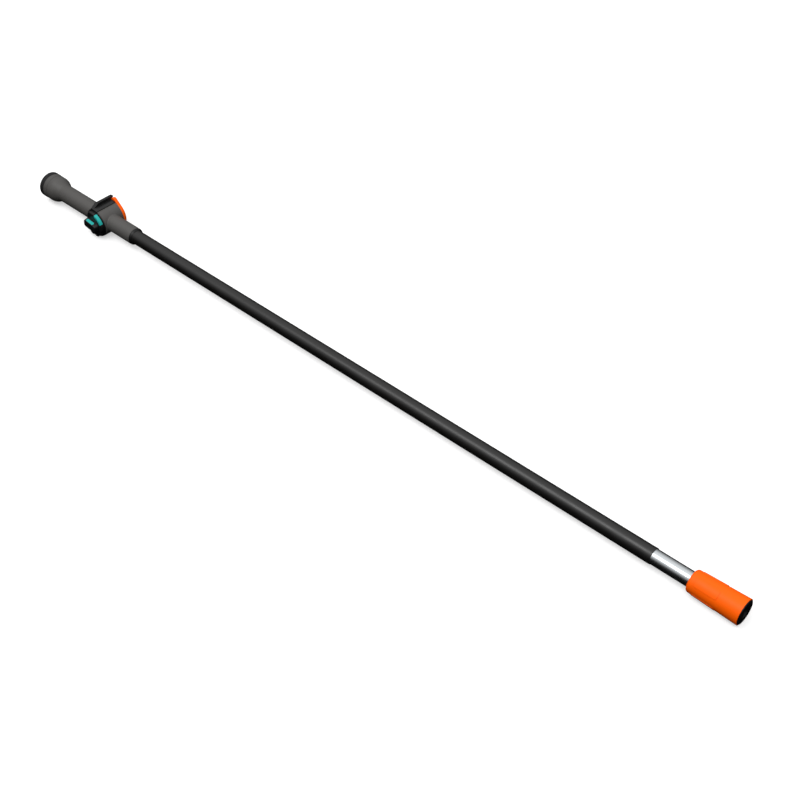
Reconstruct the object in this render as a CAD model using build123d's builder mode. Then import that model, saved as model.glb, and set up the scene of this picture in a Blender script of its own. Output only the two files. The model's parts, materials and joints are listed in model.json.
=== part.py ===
"""Watering wand: a hose-fed handle with a thumb shut-off, a flow knob and a quick coupling at the far end.

The wand lies along +X, from the hose end to the tool end, with the thumb lever on top (+Z) and the flow
knob on the -Y side. The origin is on the wand's axis, in the locking rim of the hose plug. Millimetres.
"""

import os

from build123d import *

# Stations along the wand, measured from the handle's mouth
wand_length = 1500.0
mouth_x = -13.0
bumper_end_x = mouth_x + 10.5
bell_end_x = mouth_x + 27.0
bell_line_x = mouth_x + 19.6
web_x = mouth_x + 30.0
web_end_x = mouth_x + 36.0
grip_x = mouth_x + 47.5
valve_x = mouth_x + 164.0
tube_x = valve_x + 32.0
sleeve_x = mouth_x + 239.0
neck_end_x = mouth_x + 249.5
gland_end_x = mouth_x + 253.5
sleeve_end_x = mouth_x + 1356.0
collar_x = mouth_x + 1417.0
tube_end_x = collar_x + 35.0
tool_end_x = mouth_x + wand_length

# Handle
bell_r = 23.7
bumper_r = 24.0
bumper_seat_r = 22.0
bumper_seat_x = mouth_x + 2.5
mouth_r = 20.5
grip_r = 16.4
neck_r = 15.8
drum_r = 27.0
wall = 2.4
drum_near_y = -19.6
drum_far_y = 21.5
cover_far_y = 28.0
pipe_r = 7.2
pipe_bore_r = 5.2
screw_r = 1.5
screw_head_r = 2.6
slide_gap = 0.05

# Tube
tube_r = 12.0
tube_bore_r = 10.5
sleeve_r = 12.8

# Valve
chamber_r = 16.5
chamber_bore_r = 13.05
barrel_r = 13.0
plug_r = 9.0
port_r = 3.0
boss_r = 8.6
spindle_r = 5.5
lever_swing = 28.0
lever_r = 34.6
lever_ring_r = 26.4
lever_near_y = -21.4
bar_rear = -17.0
bar_front = -4.5
bar_far_y = 26.0
saddle_front = 17.0
saddle_r = 28.8
slope_end_y = -7.0

# Flow knob
knob_r = 24.5
knob_back_y = -21.7
knob_face_y = -28.2
wing_top_y = -36.7
wing_tilt = 8.0
wing_length = 33.0
wing_width = 17.0
flat_out = 17.5
flat_turn = 160.0

# Tool coupling
collar_rear_r = 17.4
collar_front_r = 20.4
claw_count = 3

valve_axis = Axis((valve_x, 0, 0), (0, 1, 0))

os.makedirs("parts", exist_ok=True)


def save(builder, name):
    """Label a finished piece and write it as its own STEP file."""
    builder.part.label = name
    export_step(builder.part, f"parts/{name}.step")


def turn(points, about=Axis.X, mode=Mode.ADD):
    """Turn a closed outline of (along, out) points in the XY plane about an axis."""
    with BuildSketch(Plane.XY) as outline:
        with BuildLine():
            Polyline(*points, close=True)
        make_face()
    revolve(outline.sketch, axis=about, mode=mode)


def rod(start_x, end_x, radius, mode=Mode.ADD):
    """A round bar along the wand's axis."""
    turn([(start_x, 0), (end_x, 0), (end_x, radius), (start_x, radius)], mode=mode)


def across(start_y, end_y, radius, mode=Mode.ADD, dx=0.0, dz=0.0):
    """A round bar along Y, at an offset from the valve's axis."""
    with BuildSketch(Plane(origin=(0, end_y, 0), x_dir=(1, 0, 0), z_dir=(0, -1, 0))) as disc:
        with Locations((valve_x + dx, dz)):
            Circle(radius)
    extrude(disc.sketch, amount=end_y - start_y, mode=mode)


def ring(x, middle_r, wire_r):
    """An O-ring about the wand's axis."""
    with BuildSketch(Plane.XY) as section:
        with Locations((x, middle_r)):
            Circle(wire_r)
    revolve(section.sketch, axis=Axis.X)


def cross_ring(y, middle_r, wire_r):
    """An O-ring about the valve's axis."""
    with BuildSketch(Plane.XY) as section:
        with Locations((valve_x + middle_r, y)):
            Circle(wire_r)
    revolve(section.sketch, axis=valve_axis)


def sector(start, end, inner_r, outer_r, near_y, far_y, mode=Mode.ADD):
    """A piece of a ring about the valve's axis, between two angles measured forwards from straight up."""
    plane = Plane(origin=(valve_x, far_y, 0), x_dir=(1, 0, 0), z_dir=(0, -1, 0))
    with BuildSketch(plane) as shape:
        with BuildLine():
            outer = CenterArc((0, 0), outer_r, 90 - end, end - start)
            inner = CenterArc((0, 0), inner_r, 90 - end, end - start)
            Line(outer @ 0, inner @ 0)
            Line(outer @ 1, inner @ 1)
        make_face()
    extrude(shape.sketch, amount=far_y - near_y, mode=mode)


# ---------------------------------------------------------------- handle shells
cavity_r = drum_r - wall
bore_r = grip_r - 3.2
web_bore_r = 9.6
boss_hole_r = boss_r + 0.1
blend_r = 1.6
near_face_chamfer = 1.0
line_width = 0.9
line_depth = 0.35
rib_width = 2.0
rib_inner_r = pipe_r + 0.1
screw_boss_r = 3.2
screw_spots = ((18.3, 12.0), (15.9, -15.0), (-15.9, -15.0))
screw_tip_y = drum_near_y + wall + 2
screw_seat_y = drum_far_y - 3.2
screw_head_height = 2.2
recess_r = 1.0
recess_depth = 1.0
web_screw_x = (web_x + web_end_x) / 2
web_screw_z = 12.0
web_screw_reach = 9.0
pin_x = tube_x + 20
pin_r = 1.5
pin_inner_r = 8.6
pin_outer_r = 15.0


def screw_bars(radius, start_y, end_y, mode):
    """Bars along Y at the three screws round the valve."""
    for dx, dz in screw_spots:
        across(start_y, end_y, radius, mode, dx, dz)


def web_bars(radius, start_y, end_y, mode):
    """Bars along Y at the two screws in the web behind the mouth."""
    for side in (1, -1):
        across(start_y, end_y, radius, mode, web_screw_x - valve_x, side * web_screw_z)


def radial_bars(x, radius, inner_r, outer_r, mode=Mode.ADD):
    """Two round bars at one station, above and below the wand's axis."""
    for side in (1, -1):
        with BuildSketch(Plane.XY.offset(min(side * inner_r, side * outer_r))) as disc:
            with Locations((x, 0)):
                Circle(radius)
        extrude(disc.sketch, amount=outer_r - inner_r, mode=mode)


def pin_bars(mode=Mode.ADD):
    """Two pins through the neck and the tube's wall into the valve's outlet spigot."""
    radial_bars(pin_x, pin_r, pin_inner_r, pin_outer_r, mode)


with BuildPart() as handle:
    with BuildSketch(Plane.XY) as handle_outline:
        with BuildLine():
            Polyline(
                (neck_end_x, 0),
                (bumper_seat_x, 0),
                (bumper_seat_x, bumper_seat_r),
                (bumper_end_x, bumper_seat_r),
                (bumper_end_x, bell_r),
                (bell_end_x, bell_r),
            )
            Spline(
                (bell_end_x, bell_r),
                (grip_x, grip_r),
                tangents=[(1, 0), (1, 0)],
                tangent_scalars=[1.1, 0.7],
            )
            Polyline(
                (grip_x, grip_r),
                (valve_x, grip_r),
                (valve_x, neck_r),
                (neck_end_x, neck_r),
                (neck_end_x, 0),
            )
        make_face()
    revolve(handle_outline.sketch, axis=Axis.X)
    across(drum_near_y, drum_far_y, drum_r)
    # soft blends where the drum's ends meet the grip and the neck
    drum_seams = handle.edges().filter_by(GeomType.BSPLINE)
    fillet(drum_seams.filter_by(lambda edge: edge.length > grip_r * 2.5), blend_r)
    chamfer(handle.faces().filter_by(Axis.Y).sort_by(Axis.Y)[0].edges(), near_face_chamfer)
    # shallow line round the bell
    rod(bell_line_x, bell_line_x + line_width, bell_r + line_depth, Mode.SUBTRACT)
    rod(bell_line_x, bell_line_x + line_width, bell_r - line_depth)
    # hollow: mouth, web, grip and neck
    rod(mouth_x, web_x, mouth_r, Mode.SUBTRACT)
    rod(web_x, web_end_x, web_bore_r, Mode.SUBTRACT)
    rod(web_end_x, tube_x, bore_r, Mode.SUBTRACT)
    rod(tube_x, neck_end_x, tube_r + slide_gap, Mode.SUBTRACT)
    rod(sleeve_x, neck_end_x, sleeve_r + slide_gap, Mode.SUBTRACT)
    # drum cavity, open on the far side, with a hole for the valve's boss on the near side
    across(drum_near_y + wall, drum_far_y, cavity_r, Mode.SUBTRACT)
    across(drum_near_y, drum_near_y + wall, boss_hole_r, Mode.SUBTRACT)
    # ribs that hold the inlet pipe
    for rib_x in (grip_x + 12, grip_x + 36, grip_x + 60):
        turn(
            [
                (rib_x, rib_inner_r),
                (rib_x + rib_width, rib_inner_r),
                (rib_x + rib_width, bore_r + 1),
                (rib_x, bore_r + 1),
            ]
        )
    screw_bars(screw_boss_r, drum_near_y + wall, screw_seat_y, Mode.ADD)
    screw_bars(screw_r, screw_tip_y, drum_far_y, Mode.SUBTRACT)
    web_bars(screw_r, -web_screw_reach, bumper_seat_r, Mode.SUBTRACT)
    web_bars(screw_head_r, web_screw_reach, bumper_seat_r, Mode.SUBTRACT)
    pin_bars(Mode.SUBTRACT)

with BuildPart() as handle_shell_left:
    add(handle.part)
    split(bisect_by=Plane.XZ, keep=Keep.BOTTOM)
save(handle_shell_left, "handle_shell_left")

with BuildPart() as handle_shell_right:
    add(handle.part)
    split(bisect_by=Plane.XZ, keep=Keep.TOP)
save(handle_shell_right, "handle_shell_right")

bumper_edge = 1.0
with BuildPart() as bumper_ring:
    turn(
        [
            (mouth_x, mouth_r),
            (mouth_x, bumper_r - bumper_edge),
            (mouth_x + bumper_edge, bumper_r),
            (bumper_end_x, bumper_r),
            (bumper_end_x, bumper_seat_r),
            (bumper_seat_x, bumper_seat_r),
            (bumper_seat_x, mouth_r),
        ]
    )
save(bumper_ring, "bumper_ring")

gland_rim_r = neck_r - 0.3
gland_rim_width = 1.2
gland_tip_r = sleeve_r + 0.4
with BuildPart() as neck_gland:
    turn(
        [
            (neck_end_x, sleeve_r),
            (neck_end_x, gland_rim_r),
            (neck_end_x + gland_rim_width, gland_rim_r),
            (gland_end_x, gland_tip_r),
            (gland_end_x, sleeve_r),
        ]
    )
save(neck_gland, "neck_gland")

with BuildPart() as tube_pins:
    pin_bars()
save(tube_pins, "tube_pins")

with BuildPart() as handle_screws:
    head_end_y = screw_seat_y + screw_head_height
    screw_bars(screw_r, screw_tip_y, screw_seat_y, Mode.ADD)
    screw_bars(screw_head_r, screw_seat_y, head_end_y, Mode.ADD)
    screw_bars(recess_r, head_end_y - recess_depth, head_end_y, Mode.SUBTRACT)
    web_head_end_y = web_screw_reach + screw_head_height
    web_bars(screw_r, -web_screw_reach, web_screw_reach, Mode.ADD)
    web_bars(screw_head_r - 0.1, web_screw_reach, web_head_end_y, Mode.ADD)
    web_bars(recess_r, web_head_end_y - recess_depth, web_head_end_y, Mode.SUBTRACT)
save(handle_screws, "handle_screws")

# The far cover rises to a lobe just ahead of the thumb bar
lobe_r = 4.0
lobe_dx = 2.5
lobe_z = 29.0
cover_edge_r = 2.4
cover_seat_depth = 1.6
dish_r = 14.0
dish_depth = 1.0
cover_plane = Plane(origin=(valve_x, cover_far_y, 0), x_dir=(1, 0, 0), z_dir=(0, -1, 0))
with BuildPart() as drum_cover:
    with BuildSketch(cover_plane) as cover_outline:
        Circle(drum_r)
        with Locations((lobe_dx, lobe_z)):
            Circle(lobe_r)
        make_hull()
    extrude(cover_outline.sketch, amount=cover_far_y - drum_far_y)
    fillet(drum_cover.faces().sort_by(Axis.Y)[-1].edges(), cover_edge_r)
    across(drum_far_y, drum_far_y + cover_seat_depth, boss_r + slide_gap, Mode.SUBTRACT)
    across(cover_far_y - dish_depth, cover_far_y, dish_r, Mode.SUBTRACT)
save(drum_cover, "drum_cover")

# ---------------------------------------------------------------- inlet
# The plug ends towards the hose in a tip with an O-ring groove, then a locking rim and a waist that a hose
# connector grips. A flange stands against the web, and a spigot behind the web carries the inlet pipe.
plug_bore_r = 3.4
land_r = 7.9
land_half = 4.0
tip_r = 6.2
tip_groove_r = 4.9
tip_groove = (-6.9, -5.1)
waist_r = 6.6
waist_end_x = 14.0
plug_flange_r = 11.5
plug_web_r = web_bore_r - slide_gap
nut_r = 12.4
nut_end_x = web_end_x + 3
spigot_r = pipe_bore_r - slide_gap
spigot_groove_r = 4.2
spigot_groove = (web_end_x + 6, web_end_x + 7.2)
spigot_tip_x = web_end_x + 12
screen_x = -8.0
screen_r = 4.3
screen_seat_depth = 1.0
with BuildPart() as hose_plug:
    turn(
        [
            (screen_x, plug_bore_r),
            (screen_x, tip_r - 0.6),
            (screen_x + 0.6, tip_r),
            (tip_groove[0], tip_r),
            (tip_groove[0], tip_groove_r),
            (tip_groove[1], tip_groove_r),
            (tip_groove[1], tip_r),
            (-land_half - 0.4, tip_r),
            (-land_half, land_r),
            (land_half, land_r),
            (land_half + 1.4, waist_r),
            (waist_end_x, waist_r),
            (waist_end_x, plug_flange_r),
            (web_x, plug_flange_r),
            (web_x, plug_web_r),
            (web_end_x, plug_web_r),
            (web_end_x, nut_r),
            (nut_end_x, nut_r),
            (nut_end_x, spigot_r),
            (spigot_groove[0], spigot_r),
            (spigot_groove[0], spigot_groove_r),
            (spigot_groove[1], spigot_groove_r),
            (spigot_groove[1], spigot_r),
            (spigot_tip_x, spigot_r),
            (spigot_tip_x, plug_bore_r),
        ]
    )
    rod(screen_x, screen_x + screen_seat_depth, screen_r, Mode.SUBTRACT)
save(hose_plug, "hose_plug")

plug_ring_r = 0.8
with BuildPart() as plug_o_ring:
    ring(sum(tip_groove) / 2, tip_groove_r + plug_ring_r + slide_gap, plug_ring_r)
save(plug_o_ring, "plug_o_ring")

pipe_ring_r = 0.45
with BuildPart() as pipe_o_ring:
    ring(sum(spigot_groove) / 2, spigot_groove_r + pipe_ring_r + slide_gap, pipe_ring_r)
save(pipe_o_ring, "pipe_o_ring")

screen_hole_r = 0.4
screen_hole_apothem = 0.62
screen_holes_across = 5
screen_face_x = screen_x + 0.3
with BuildPart() as inlet_screen:
    rod(screen_face_x, screen_x + screen_seat_depth, screen_r - slide_gap)
    with BuildSketch(Plane.YZ.offset(screen_x)) as mesh_holes:
        with HexLocations(screen_hole_apothem, screen_holes_across, screen_holes_across):
            Circle(screen_hole_r)
    extrude(mesh_holes.sketch, amount=screen_seat_depth, mode=Mode.SUBTRACT)
save(inlet_screen, "inlet_screen")

pipe_end_x = valve_x - 18.1
with BuildPart() as inlet_pipe:
    rod(nut_end_x, pipe_end_x, pipe_r)
    rod(nut_end_x, pipe_end_x, pipe_bore_r, Mode.SUBTRACT)
save(inlet_pipe, "inlet_pipe")

# ---------------------------------------------------------------- shut-off valve
chamber_y = 14.8
inlet_neck_x = valve_x - 26
inlet_neck_r = pipe_r + 1.4
outlet_r = 8.2
outlet_bore_r = 7.0
outlet_bore_x = valve_x + 20
seat_disc_r = 12.9
seat_disc_x = tube_x - 5
spigot_end_x = tube_x + 26.0
spigot_groove_r = 8.8
spigot_grooves = (tube_x + 7, tube_x + 13)
groove_half = 0.9
o_ring_r = 0.8
barrel_y = 14.5
barrel_ring_y = 12.0
barrel_groove_r = 11.2
plug_y = 11.9
cap_start_y = 9.4
running_gap = 0.03


def groove(middle, inner_r, outer_r):
    """A square groove for an O-ring about the wand's axis."""
    turn(
        [
            (middle - groove_half, inner_r),
            (middle + groove_half, inner_r),
            (middle + groove_half, outer_r),
            (middle - groove_half, outer_r),
        ],
        mode=Mode.SUBTRACT,
    )


def cross_groove(middle_y, half, inner_r, outer_r):
    """A square groove for an O-ring about the valve's axis."""
    turn(
        [
            (valve_x + inner_r, middle_y - half),
            (valve_x + outer_r, middle_y - half),
            (valve_x + outer_r, middle_y + half),
            (valve_x + inner_r, middle_y + half),
        ],
        about=valve_axis,
        mode=Mode.SUBTRACT,
    )


def port(tilt, mode=Mode.SUBTRACT):
    """The water passage across a turning part, tilted from the wand's axis."""
    plane = Plane(origin=(valve_x, 0, 0), x_dir=(0, 1, 0), z_dir=(1, 0, 0)).rotated((0, tilt, 0))
    with BuildSketch(plane) as disc:
        Circle(port_r)
    extrude(disc.sketch, amount=chamber_r, both=True, mode=mode)


with BuildPart() as valve_chamber:
    across(-chamber_y, chamber_y, chamber_r)
    rod(inlet_neck_x, valve_x, inlet_neck_r)
    rod(valve_x, tube_x, outlet_r)
    rod(seat_disc_x, tube_x, seat_disc_r)
    rod(tube_x, spigot_end_x, tube_bore_r - slide_gap)
    across(-chamber_y, chamber_y, chamber_bore_r, Mode.SUBTRACT)
    rod(inlet_neck_x, pipe_end_x, pipe_r + running_gap, Mode.SUBTRACT)
    rod(pipe_end_x, outlet_bore_x, port_r, Mode.SUBTRACT)
    rod(outlet_bore_x, spigot_end_x, outlet_bore_r, Mode.SUBTRACT)
    for groove_x in spigot_grooves:
        groove(groove_x, spigot_groove_r, tube_r)
    pin_bars(Mode.SUBTRACT)
save(valve_chamber, "valve_chamber")

with BuildPart() as tube_o_rings:
    for groove_x in spigot_grooves:
        ring(groove_x, spigot_groove_r + o_ring_r + slide_gap, o_ring_r)
save(tube_o_rings, "tube_o_rings")

with BuildPart() as shutoff_barrel:
    across(-barrel_y, barrel_y, barrel_r)
    across(lever_near_y, -barrel_y, boss_r)
    across(-plug_y, barrel_y, plug_r + running_gap, Mode.SUBTRACT)
    across(lever_near_y, -plug_y, spindle_r + running_gap, Mode.SUBTRACT)
    for ring_y in (-barrel_ring_y, barrel_ring_y):
        cross_groove(ring_y, groove_half, barrel_groove_r, chamber_bore_r)
    port(lever_swing)
save(shutoff_barrel, "shutoff_barrel")

barrel_wire_r = 0.82
with BuildPart() as barrel_rings:
    for ring_y in (-barrel_ring_y, barrel_ring_y):
        cross_ring(ring_y, barrel_groove_r + barrel_wire_r + 0.13, barrel_wire_r)
save(barrel_rings, "barrel_rings")

cap_end_y = drum_far_y + 1.2
with BuildPart() as barrel_cap:
    across(cap_start_y, barrel_y, plug_r)
    across(barrel_y, cap_end_y, boss_r)
save(barrel_cap, "barrel_cap")

# The lever clears the drum by lever_gap, and its bar's end is thinner where it reaches over the far cover
lever_gap = 0.3
lever_far_y = drum_far_y - 0.4
ring_back_y = drum_near_y - lever_gap
bar_end_depth = 3.3
overlap = 1.0
ring_flat_step = 2.5
with BuildPart() as thumb_lever:
    sector(bar_rear, bar_front, saddle_r - overlap / 2, lever_r, lever_near_y, lever_far_y)
    sector(bar_rear, bar_front, lever_r - bar_end_depth, lever_r, lever_far_y - overlap, bar_far_y)
    with BuildSketch(Plane.YZ.offset(valve_x - lever_r)) as slope:
        with BuildLine():
            Polyline(
                (lever_near_y - overlap, lever_ring_r),
                (slope_end_y, lever_r),
                (slope_end_y, lever_r + overlap),
                (lever_near_y - overlap, lever_r + overlap),
                close=True,
            )
        make_face()
    extrude(slope.sketch, amount=lever_r, mode=Mode.SUBTRACT)
    # saddle over the drum, and the ring that turns round the knob's axis
    sector(bar_rear, saddle_front, drum_r + lever_gap, saddle_r, lever_near_y, lever_far_y)
    sector(bar_rear, saddle_front, lever_ring_r - 2 * overlap, drum_r + overlap, lever_near_y, ring_back_y)
    across(lever_near_y, ring_back_y, lever_ring_r)
    across(lever_near_y, ring_back_y, boss_r, Mode.SUBTRACT)
    # the ring has a flat at its rear, as the knob has
    with BuildSketch(Plane(origin=(valve_x, ring_back_y, 0), x_dir=(1, 0, 0), z_dir=(0, -1, 0))) as rear_cut:
        with PolarLocations(flat_out + ring_flat_step + lever_ring_r, 1, flat_turn):
            Rectangle(2 * lever_ring_r, 2 * lever_ring_r)
    extrude(rear_cut.sketch, amount=ring_back_y - lever_near_y, mode=Mode.SUBTRACT)
save(thumb_lever, "thumb_lever")

# ---------------------------------------------------------------- flow control
stem_end_y = knob_face_y - 1
spindle_start_y = 0.2 - plug_y
spindle_groove_y = -16.2
spindle_groove_half = 0.8
spindle_groove_r = 4.2
knob_screw_tip_y = knob_face_y + 8
with BuildPart() as flow_spindle:
    across(spindle_start_y, cap_start_y - 0.2, plug_r)
    across(stem_end_y, spindle_start_y, spindle_r)
    port(0)
    cross_groove(spindle_groove_y, spindle_groove_half, spindle_groove_r, plug_r)
    across(stem_end_y, knob_screw_tip_y + 1, screw_r, Mode.SUBTRACT)
save(flow_spindle, "flow_spindle")

spindle_wire_r = 0.62
with BuildPart() as spindle_ring:
    cross_ring(spindle_groove_y, spindle_groove_r + spindle_wire_r + 0.03, spindle_wire_r)
save(spindle_ring, "spindle_ring")

wing_along = Vector(1, 0, 0).rotate(Axis.Y, wing_tilt)
wing_up = Vector(0, 0, 1).rotate(Axis.Y, wing_tilt)
wing_corner_r = 5.5
wing_taper = 8
knob_edge = 1.0
wing_edge_r = 1.0
scallop_r = 6.0
scallop_out = knob_r + 4.0
scallop_count = 4
first_scallop = 242.0
scallop_arc = 136.0
inlay_proud = 0.15
rim_inlay = (20.0, 70.0)
rim_inlay_inner_r = knob_r - 4.0
rim_inlay_back_y = knob_back_y - 0.6
strip_length = 18.0
strip_width = 5.8
strip_place = (-1.5, -0.4)
strip_corner_r = 2.2
strip_depth = 1.2
cap_r = 3.0
cap_depth = 1.2
knob_head_r = 2.8


def knob_plane(y):
    """A plane facing the user across the knob, with its X along the wing."""
    return Plane(origin=(valve_x, y, 0), x_dir=wing_along, z_dir=(0, -1, 0))


def rim_inlay_bars(proud, mode):
    """The piece of the knob's rim, with a band of its face, that the coloured inlay fills."""
    sector(*rim_inlay, rim_inlay_inner_r, knob_r + proud, knob_face_y - proud, rim_inlay_back_y, mode)


def strip_block(plane, start, end, mode):
    """The strip let into the side of the wing that faces up."""
    with BuildSketch(plane.offset(start)) as strip:
        with Locations(strip_place):
            RectangleRounded(strip_length, strip_width, strip_corner_r)
    extrude(strip.sketch, amount=end - start, mode=mode)


with BuildPart() as flow_knob:
    with BuildSketch(knob_plane(knob_back_y)) as knob_outline:
        Circle(knob_r)
        with PolarLocations(scallop_out, scallop_count, first_scallop, scallop_arc):
            Circle(scallop_r, mode=Mode.SUBTRACT)
        with PolarLocations(flat_out + knob_r, 1, flat_turn + wing_tilt):
            Rectangle(2 * knob_r, 2 * knob_r, mode=Mode.SUBTRACT)
    extrude(knob_outline.sketch, amount=knob_back_y - knob_face_y)
    chamfer(flow_knob.faces().sort_by(Axis.Y)[0].edges(), knob_edge)
    with BuildSketch(knob_plane(knob_face_y)) as wing_outline:
        RectangleRounded(wing_length, wing_width, wing_corner_r)
    extrude(wing_outline.sketch, amount=knob_face_y - wing_top_y, taper=wing_taper)
    flat_faces = flow_knob.faces().filter_by(GeomType.PLANE)
    wing_side = flat_faces.sort_by(lambda face: face.center().dot(wing_up))[-1]
    strip_plane = Plane(origin=wing_side.center(), x_dir=wing_along, z_dir=wing_side.normal_at())
    fillet(flow_knob.faces().sort_by(Axis.Y)[0].edges(), wing_edge_r)
    across(stem_end_y, knob_back_y, spindle_r, Mode.SUBTRACT)
    across(wing_top_y, knob_back_y, screw_r + 0.1, Mode.SUBTRACT)
    across(wing_top_y, wing_top_y + 3.2, cap_r, Mode.SUBTRACT)
    rim_inlay_bars(1, Mode.SUBTRACT)
    strip_block(strip_plane, -strip_depth, 1, Mode.SUBTRACT)
save(flow_knob, "flow_knob")

with BuildPart() as knob_rim_inlay:
    rim_inlay_bars(inlay_proud, Mode.ADD)
    chamfer(knob_rim_inlay.faces().sort_by(Axis.Y)[0].edges().sort_by(Edge.length)[-1], knob_edge)
save(knob_rim_inlay, "knob_rim_inlay")

with BuildPart() as knob_strip_inlay:
    strip_block(strip_plane, -strip_depth, inlay_proud, Mode.ADD)
save(knob_strip_inlay, "knob_strip_inlay")

knob_head_y = wing_top_y + cap_depth + 0.2
knob_head_end_y = wing_top_y + 3.2
with BuildPart() as knob_screw:
    across(knob_head_y, knob_head_end_y, knob_head_r)
    across(knob_head_end_y, knob_screw_tip_y, screw_r)
    across(knob_head_y, knob_head_y + recess_depth, recess_r, Mode.SUBTRACT)
save(knob_screw, "knob_screw")

with BuildPart() as knob_cap:
    across(wing_top_y, wing_top_y + cap_depth, cap_r)
save(knob_cap, "knob_cap")

# ---------------------------------------------------------------- tube
socket_x = collar_x + 14.0
coupling_pin_x = tube_end_x - 14.0
coupling_pin_r = 1.2
coupling_pin_inner_r = tube_bore_r + 0.1
coupling_pin_outer_r = 13.5


def coupling_pin_bars(mode=Mode.ADD):
    """Two short pins through the coupling's socket and the tube's wall."""
    radial_bars(coupling_pin_x, coupling_pin_r, coupling_pin_inner_r, coupling_pin_outer_r, mode)


with BuildPart() as inner_tube:
    rod(tube_x, tube_end_x, tube_r)
    rod(tube_x, tube_end_x, tube_bore_r, Mode.SUBTRACT)
    pin_bars(Mode.SUBTRACT)
    coupling_pin_bars(Mode.SUBTRACT)
save(inner_tube, "inner_tube")

with BuildPart() as tube_sleeve:
    rod(sleeve_x, sleeve_end_x, sleeve_r)
    rod(sleeve_x, sleeve_end_x, tube_r, Mode.SUBTRACT)
save(tube_sleeve, "tube_sleeve")

# ---------------------------------------------------------------- tool coupling
body_rear_r = 13.6
body_r = 15.0
flange_r = 19.0
flange_x = tool_end_x - 3.4
flange_edge = 0.8
socket_r = 8.0
socket_back_r = socket_r + 0.4
socket_step_x = tool_end_x - 15.0
socket_back_x = tool_end_x - 32.0
socket_lead = 1.2
water_r = 6.0
seal_x = tool_end_x - 28.0
seal_inner_r = 7.0
seal_outer_r = 9.4
seal_wire_r = 0.78
tube_ring_x = tube_end_x - 6.0
tube_ring_wire_r = 0.53
tube_groove_r = 13.1
claw_x = tool_end_x - 19.0
claw_length = 6.0
claw_width = 5.0
claw_slack = 0.2
claw_inner_r = 6.8
claw_outer_r = 14.8
shoulder_x = tube_end_x + 1.0
front_x = tube_end_x + 5.0
collar_end_x = tool_end_x - 1.3
collar_gap = 0.3
stop_x = collar_x + 4.0
spring_start_x = stop_x + 2.0
spring_room_r = 15.4
claw_room_r = 17.0
flange_room_x = tool_end_x - 10.5
collar_rear_edge_r = 4.0
collar_front_edge_r = 0.5


def claw_boxes(slack, start_r, end_r, mode, count=claw_count, first=0):
    """Radial blocks round the wand's axis, where the locking claws go."""
    for index in range(first, first + count):
        angle = 360 / claw_count * index
        plane = Plane(origin=(claw_x, 0, 0), x_dir=(1, 0, 0), z_dir=(0, 0, 1)).rotated((angle, 0, 0))
        with BuildSketch(plane.offset(start_r)) as outline:
            Rectangle(claw_length + slack, claw_width + slack)
        extrude(outline.sketch, amount=end_r - start_r, mode=mode)


with BuildPart() as coupling_body:
    rod(socket_x, front_x, body_rear_r)
    rod(front_x, tool_end_x, body_r)
    rod(flange_x, tool_end_x, flange_r)
    chamfer(coupling_body.faces().sort_by(Axis.X)[-1].edges(), flange_edge)
    rod(socket_x, tube_end_x, tube_r, Mode.SUBTRACT)
    rod(tube_end_x, tool_end_x, water_r, Mode.SUBTRACT)
    rod(socket_back_x, socket_step_x, socket_back_r, Mode.SUBTRACT)
    rod(socket_step_x, tool_end_x, socket_r, Mode.SUBTRACT)
    turn(
        [
            (tool_end_x - socket_lead, 0),
            (tool_end_x, 0),
            (tool_end_x, socket_r + socket_lead),
            (tool_end_x - socket_lead, socket_r),
        ],
        mode=Mode.SUBTRACT,
    )
    groove(seal_x, seal_inner_r, seal_outer_r)
    groove(tube_ring_x, tube_r - running_gap, tube_groove_r)
    claw_boxes(claw_slack, water_r - 1, body_r + 1, Mode.SUBTRACT)
    coupling_pin_bars(Mode.SUBTRACT)
save(coupling_body, "coupling_body")

with BuildPart() as coupling_pins:
    coupling_pin_bars()
save(coupling_pins, "coupling_pins")

with BuildPart() as coupling_o_ring:
    ring(tube_ring_x, tube_groove_r - tube_ring_wire_r - 0.02, tube_ring_wire_r)
save(coupling_o_ring, "coupling_o_ring")

with BuildPart() as tool_seal:
    ring(seal_x, seal_outer_r - seal_wire_r - 0.02, seal_wire_r)
save(tool_seal, "tool_seal")

for claw_index in range(claw_count):
    with BuildPart() as locking_claw:
        claw_boxes(0, claw_inner_r, claw_outer_r, Mode.ADD, 1, claw_index)
    save(locking_claw, f"locking_claw_{claw_index + 1}")

with BuildPart() as stop_ring:
    rod(stop_x, spring_start_x, spring_room_r - collar_gap)
    rod(stop_x, spring_start_x, tube_r, Mode.SUBTRACT)
save(stop_ring, "stop_ring")

spring_wire_r = 0.5
spring_mean_r = 14.5
spring_turns = 8
spring_end_gap = 0.2
spring_length = shoulder_x - spring_start_x - 2 * (spring_wire_r + spring_end_gap)
spring_path = Helix(
    pitch=spring_length / spring_turns,
    height=spring_length,
    radius=spring_mean_r,
    center=(spring_start_x + spring_wire_r + spring_end_gap, 0, 0),
    direction=(1, 0, 0),
)
with BuildPart() as collar_spring:
    with BuildSketch(Plane(origin=spring_path @ 0, z_dir=spring_path % 0)) as wire_section:
        Circle(spring_wire_r)
    sweep(wire_section.sketch, path=spring_path, is_frenet=True)
save(collar_spring, "collar_spring")

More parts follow.
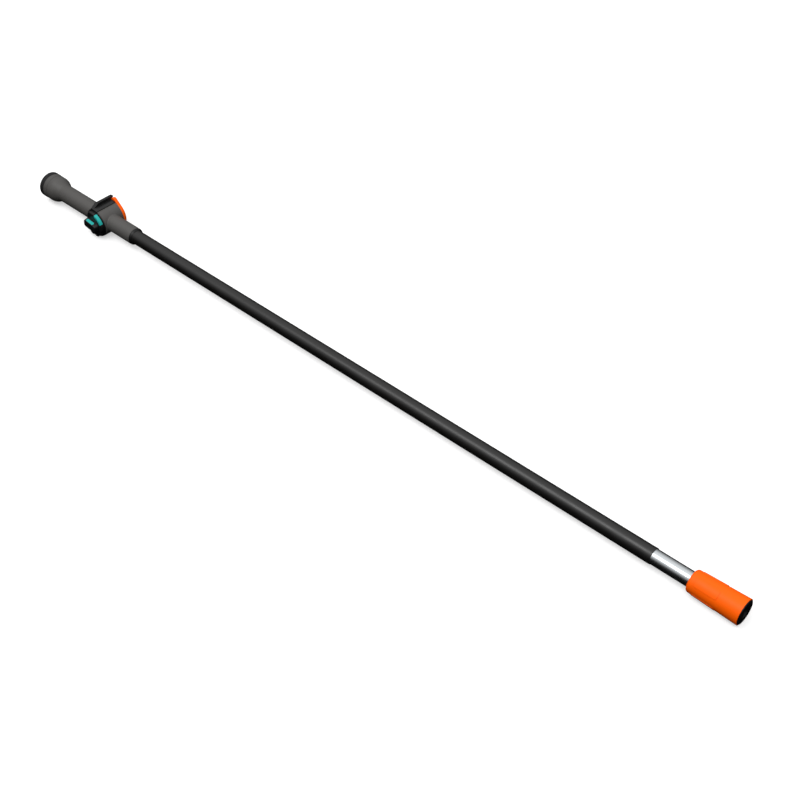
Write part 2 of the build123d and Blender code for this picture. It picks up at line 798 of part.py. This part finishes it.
# Four raised grip panels, cut to stand a little above the collar's cone
panel_start_x = collar_x + 10.0
panel_end_x = collar_x + 46.0
panel_half_width = 7.0
panel_corner_r = 3.0
panel_height = 0.5
panel_turn = 38.0
with BuildPart() as collar_panels:
    for quarter in range(4):
        with BuildSketch(Plane.XY.rotated((panel_turn + 90 * quarter, 0, 0))) as panel_outline:
            with Locations(((panel_start_x + panel_end_x) / 2, 0)):
                RectangleRounded(panel_end_x - panel_start_x, 2 * panel_half_width, panel_corner_r)
        extrude(panel_outline.sketch, amount=2 * collar_front_r)
    turn(
        [
            (collar_x, 0),
            (collar_end_x, 0),
            (collar_end_x, collar_front_r + panel_height),
            (collar_x, collar_rear_r + panel_height),
        ],
        mode=Mode.INTERSECT,
    )

with BuildPart() as coupling_collar:
    turn([(collar_x, 0), (collar_end_x, 0), (collar_end_x, collar_front_r), (collar_x, collar_rear_r)])
    fillet(coupling_collar.faces().sort_by(Axis.X)[0].edges(), collar_rear_edge_r)
    fillet(coupling_collar.faces().sort_by(Axis.X)[-1].edges(), collar_front_edge_r)
    add(collar_panels.part)
    rod(collar_x, shoulder_x, spring_room_r, Mode.SUBTRACT)
    rod(shoulder_x, front_x - collar_gap, body_rear_r + collar_gap, Mode.SUBTRACT)
    rod(front_x - collar_gap, collar_end_x, body_r + collar_gap, Mode.SUBTRACT)
    rod(claw_x - claw_length / 2 - 1, collar_end_x, claw_room_r, Mode.SUBTRACT)
    rod(flange_room_x, collar_end_x, flange_r + claw_slack, Mode.SUBTRACT)
save(coupling_collar, "coupling_collar")
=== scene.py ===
import json
import math

import bpy
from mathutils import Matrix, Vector


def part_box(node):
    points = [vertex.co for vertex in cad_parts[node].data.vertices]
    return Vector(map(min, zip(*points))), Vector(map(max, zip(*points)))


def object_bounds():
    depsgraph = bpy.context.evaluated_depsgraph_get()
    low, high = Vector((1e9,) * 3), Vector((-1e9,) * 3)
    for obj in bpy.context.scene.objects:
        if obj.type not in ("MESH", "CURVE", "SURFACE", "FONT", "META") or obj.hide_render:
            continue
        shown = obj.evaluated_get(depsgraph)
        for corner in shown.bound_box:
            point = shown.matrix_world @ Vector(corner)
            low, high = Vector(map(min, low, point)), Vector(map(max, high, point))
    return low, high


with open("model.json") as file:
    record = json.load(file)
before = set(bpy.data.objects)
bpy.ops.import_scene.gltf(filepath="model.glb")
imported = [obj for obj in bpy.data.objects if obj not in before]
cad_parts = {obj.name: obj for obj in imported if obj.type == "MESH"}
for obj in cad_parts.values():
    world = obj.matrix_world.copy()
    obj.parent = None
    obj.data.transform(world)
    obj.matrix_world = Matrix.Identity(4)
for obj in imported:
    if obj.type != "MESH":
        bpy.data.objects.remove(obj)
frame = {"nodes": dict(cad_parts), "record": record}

CAD_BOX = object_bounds()
MM = 0.001
NODES = frame["nodes"]
LOW, HIGH = Vector(CAD_BOX[0]), Vector(CAD_BOX[1])


# ---------------------------------------------------------------- camera
# It looks at the wand from the tool end, from the knob's side and above.
LENS_MM = 58.5
SENSOR_MM = 36.0
AIM = Vector((874.3, -0.6, 0.0)) * MM
DISTANCE = 2012 * MM
FROM_AXIS = math.radians(60.7)
ABOVE_SIDE = math.radians(51.6)
NEAREST, FARTHEST = 0.05, 50


def make_camera():
    towards = Vector((
        math.cos(FROM_AXIS),
        -math.sin(FROM_AXIS) * math.cos(ABOVE_SIDE),
        math.sin(FROM_AXIS) * math.sin(ABOVE_SIDE),
    ))
    data = bpy.data.cameras.new("camera")
    data.lens = LENS_MM
    data.sensor_width = SENSOR_MM
    data.clip_start = NEAREST
    data.clip_end = FARTHEST
    camera = bpy.data.objects.new("camera", data)
    bpy.context.scene.collection.objects.link(camera)
    camera.location = AIM + DISTANCE * towards
    camera.rotation_euler = towards.to_track_quat("Z", "Y").to_euler()
    bpy.context.scene.camera = camera


# ---------------------------------------------------------------- light and floor
SKY_STRENGTH = 1.25
# the sky brightens from nothing at the first height to its full strength at the second
HORIZON = (0.05, 0.95)
KEY_OFFSET = Vector((0, -0.9, 1.9))
KEY_SIZE = (2.6, 0.8)
KEY_POWER = 32
FLOOR_REACH = 60.0
# the floor is a lit table, which keeps its shadows pale
FLOOR_GLOW = 0.5
WHITE = (1, 1, 1, 1)


def make_key():
    """A long soft light over the wand, on the knob's side."""
    middle = (LOW + HIGH) / 2
    data = bpy.data.lights.new("key", "AREA")
    data.shape = "RECTANGLE"
    data.size, data.size_y = KEY_SIZE
    data.energy = KEY_POWER
    key = bpy.data.objects.new("key", data)
    bpy.context.scene.collection.objects.link(key)
    key.location = middle + KEY_OFFSET
    key.rotation_euler = KEY_OFFSET.to_track_quat("Z", "Y").to_euler()


def make_sky():
    """A white dome above the horizon, with nothing below it, as over a product table."""
    world = bpy.data.worlds.new("studio")
    world.use_nodes = True
    tree = world.node_tree
    place = tree.nodes.new("ShaderNodeTexCoord")
    split = tree.nodes.new("ShaderNodeSeparateXYZ")
    rise = tree.nodes.new("ShaderNodeMapRange")
    rise.inputs["From Min"].default_value = HORIZON[0]
    rise.inputs["From Max"].default_value = HORIZON[1]
    rise.inputs["To Min"].default_value = 0.0
    rise.inputs["To Max"].default_value = SKY_STRENGTH
    tree.links.new(place.outputs["Generated"], split.inputs["Vector"])
    tree.links.new(split.outputs["Z"], rise.inputs["Value"])
    sky = tree.nodes["Background"]
    sky.inputs["Color"].default_value = WHITE
    tree.links.new(rise.outputs["Result"], sky.inputs["Strength"])
    bpy.context.scene.world = world


def make_lights():
    bpy.context.scene.view_settings.view_transform = "Standard"
    make_key()
    make_sky()


def make_floor():
    """The floor touches the drum and the collar, which stand on it."""
    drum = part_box("drum_cover")
    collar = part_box("coupling_collar")
    drum_x = (drum[0].x + drum[1].x) / 2
    slope = (collar[0].z - drum[0].z) / (collar[1].x - drum_x)
    reach = FLOOR_REACH
    corners = [(-reach, -reach), (reach, -reach), (reach, reach), (-reach, reach)]
    points = [(x, y, drum[0].z + slope * (x - drum_x)) for x, y in corners]
    mesh = bpy.data.meshes.new("floor")
    mesh.from_pydata(points, [], [(0, 1, 2, 3)])
    floor = bpy.data.objects.new("floor", mesh)
    bpy.context.scene.collection.objects.link(floor)
    mesh.materials.append(floor_material())
    floor.visible_diffuse = False
    floor.visible_glossy = False


# ---------------------------------------------------------------- materials
# sockets of the colour mix node
MIX_MASK, MIX_FIRST, MIX_SECOND, MIX_RESULT = 0, 6, 7, 2
BEVEL_SAMPLES = 4
EVEN = (1, 1, 1)


class Graph:
    """A material's node tree, with short ways to add and join nodes."""

    def __init__(self, name):
        self.material = bpy.data.materials.new(name)
        self.material.use_nodes = True
        self.tree = self.material.node_tree
        self.shader = self.tree.nodes["Principled BSDF"]
        self.place = self.node("ShaderNodeTexCoord").outputs["Object"]

    def node(self, kind, **settings):
        made = self.tree.nodes.new(kind)
        for key, value in settings.items():
            setattr(made, key, value)
        return made

    def join(self, source, target):
        self.tree.links.new(source, target)

    def noise(self, scale, detail, roughness=0.55, stretch=EVEN):
        mapping = self.node("ShaderNodeMapping")
        mapping.inputs["Scale"].default_value = stretch
        self.join(self.place, mapping.inputs["Vector"])
        made = self.node("ShaderNodeTexNoise")
        made.inputs["Scale"].default_value = scale
        made.inputs["Detail"].default_value = detail
        made.inputs["Roughness"].default_value = roughness
        self.join(mapping.outputs["Vector"], made.inputs["Vector"])
        return made.outputs["Fac"]

    def spread(self, source, low, high, start=0.3, end=0.7):
        """Map a mask's range from start to end onto low to high."""
        made = self.node("ShaderNodeMapRange")
        made.inputs["From Min"].default_value = start
        made.inputs["From Max"].default_value = end
        made.inputs["To Min"].default_value = low
        made.inputs["To Max"].default_value = high
        self.join(source, made.inputs["Value"])
        return made.outputs["Result"]

    def blend(self, mask, first, second):
        """Mix two colours, each given as numbers or as another node's output."""
        made = self.node("ShaderNodeMix", data_type="RGBA")
        for place, value in ((MIX_FIRST, first), (MIX_SECOND, second)):
            if isinstance(value, tuple):
                made.inputs[place].default_value = (*value, 1)
            else:
                self.join(value, made.inputs[place])
        self.join(mask, made.inputs[MIX_MASK])
        return made.outputs[MIX_RESULT]

    def add_bump(self, height, depth, before=None):
        made = self.node("ShaderNodeBump")
        made.inputs["Strength"].default_value = 1.0
        made.inputs["Distance"].default_value = depth
        self.join(height, made.inputs["Height"])
        if before is not None:
            self.join(before, made.inputs["Normal"])
        return made.outputs["Normal"]

    def rounded_edges(self, radius):
        made = self.node("ShaderNodeBevel", samples=BEVEL_SAMPLES)
        made.inputs["Radius"].default_value = radius
        return made.outputs["Normal"]

    def finish(self, colour, roughness, normal):
        self.join(colour, self.shader.inputs["Base Color"])
        self.join(roughness, self.shader.inputs["Roughness"])
        self.join(normal, self.shader.inputs["Normal"])
        return self.material


# Each pattern is its scale per metre and its detail, and some add a roughness and a stretch.
PLASTIC_DRIFT = (9, 3)
PLASTIC_DRIFT_MOST = 0.5
PLASTIC_MARKS = (70, 6, 0.7, (0.35, 1, 1))
PLASTIC_MARKS_MOST = 0.6
PLASTIC_MARKS_RANGE = (0.56, 0.72)
PLASTIC_MARKS_LIFT = 1.1
PLASTIC_SHEEN = (38, 5)
PLASTIC_EDGE = 0.35 * MM
GRAIN_DETAIL = 3

METAL_LINES = (60, 6, 0.6)
METAL_PATCHES = (25, 4)
METAL_PATCHES_MOST = 0.6
METAL_EDGE = 0.15 * MM
METAL_DEPTH = 0.004 * MM
DRAWN = (1, 40, 40)
TURNED = (30, 30, 30)

FLOOR_SPECULAR = 0.1
FLOOR_PATCHES = (3, 2)
FLOOR_COLOURS = (0.58, 0.58, 0.58), (0.60, 0.60, 0.60)
FLOOR_SHEEN = (40, 3)
FLOOR_ROUGHNESS = (0.85, 0.95)
FLOOR_GRAIN = (300, 3)
FLOOR_GRAIN_DEPTH = 0.02 * MM


def plastic(name, base, worn, rough, grain_mm, grain_depth_mm, specular):
    """Moulded plastic or rubber: spark-eroded grain, slow colour drift, and handling marks."""
    graph = Graph(name)
    drift = graph.spread(graph.noise(*PLASTIC_DRIFT), 0, PLASTIC_DRIFT_MOST)
    marks = graph.spread(graph.noise(*PLASTIC_MARKS), 0, PLASTIC_MARKS_MOST, *PLASTIC_MARKS_RANGE)
    marked = tuple(0.5 * (a + b) * PLASTIC_MARKS_LIFT for a, b in zip(base, worn))
    colour = graph.blend(marks, graph.blend(drift, base, worn), marked)
    roughness = graph.spread(graph.noise(*PLASTIC_SHEEN), *rough)
    grain = graph.noise(1 / (grain_mm * MM), GRAIN_DETAIL)
    normal = graph.add_bump(grain, grain_depth_mm * MM, graph.rounded_edges(PLASTIC_EDGE))
    graph.shader.inputs["Specular IOR Level"].default_value = specular
    return graph.finish(colour, roughness, normal)


def metal(name, base, dull, rough, stretch):
    """Drawn or turned metal: fine lines along the work, with slightly duller patches."""
    graph = Graph(name)
    lines = graph.noise(*METAL_LINES, stretch)
    patches = graph.spread(graph.noise(*METAL_PATCHES), 0, METAL_PATCHES_MOST)
    colour = graph.blend(patches, base, dull)
    roughness = graph.spread(lines, *rough)
    normal = graph.add_bump(lines, METAL_DEPTH, graph.rounded_edges(METAL_EDGE))
    graph.shader.inputs["Metallic"].default_value = 1.0
    return graph.finish(colour, roughness, normal)


def floor_material():
    graph = Graph("floor")
    graph.shader.inputs["Specular IOR Level"].default_value = FLOOR_SPECULAR
    graph.shader.inputs["Emission Color"].default_value = WHITE
    graph.shader.inputs["Emission Strength"].default_value = FLOOR_GLOW
    colour = graph.blend(graph.spread(graph.noise(*FLOOR_PATCHES), 0, 1), *FLOOR_COLOURS)
    roughness = graph.spread(graph.noise(*FLOOR_SHEEN), *FLOOR_ROUGHNESS)
    return graph.finish(colour, roughness, graph.add_bump(graph.noise(*FLOOR_GRAIN), FLOOR_GRAIN_DEPTH))


# colour, worn colour, roughness range, grain and its depth in mm, specular level
PLASTICS = {
    "grey_plastic": ((0.066, 0.0635, 0.061), (0.080, 0.0765, 0.073), (0.48, 0.60), 0.6, 0.035, 0.38),
    "black_rubber": ((0.006, 0.006, 0.0065), (0.012, 0.012, 0.012), (0.62, 0.80), 0.4, 0.03, 0.3),
    "black_plastic": ((0.004, 0.004, 0.0045), (0.009, 0.009, 0.009), (0.34, 0.46), 0.5, 0.02, 0.35),
    "sleeve_black": ((0.0045, 0.0043, 0.0042), (0.0080, 0.0076, 0.0074), (0.34, 0.44), 0.5, 0.018, 0.5),
    "orange_plastic": ((1.0, 0.112, 0.0005), (1.0, 0.130, 0.001), (0.42, 0.54), 0.6, 0.015, 0.14),
    "teal_plastic": ((0.012, 0.36, 0.33), (0.02, 0.41, 0.38), (0.32, 0.44), 0.5, 0.01, 0.3),
    "valve_plastic": ((0.17, 0.17, 0.17), (0.21, 0.21, 0.205), (0.42, 0.55), 0.5, 0.03, 0.5),
}
# colour, dull colour, roughness range, stretch of the lines
METALS = {
    "polished_aluminium": ((0.55, 0.575, 0.59), (0.50, 0.525, 0.54), (0.24, 0.34), DRAWN),
    "steel": ((0.60, 0.60, 0.62), (0.48, 0.48, 0.50), (0.22, 0.36), TURNED),
}


def make_materials():
    made = {name: plastic(name, *values) for name, values in PLASTICS.items()}
    made.update({name: metal(name, *values) for name, values in METALS.items()})
    return made


def dress_nodes(materials):
    """Give every CAD node the material of its slot."""
    slots = {part["node"]: part["material_slot"] for part in frame["record"]["subparts"]}
    for name, node in NODES.items():
        node.data.materials.clear()
        node.data.materials.append(materials[slots[name]])


make_camera()
make_lights()
make_floor()
dress_nodes(make_materials())
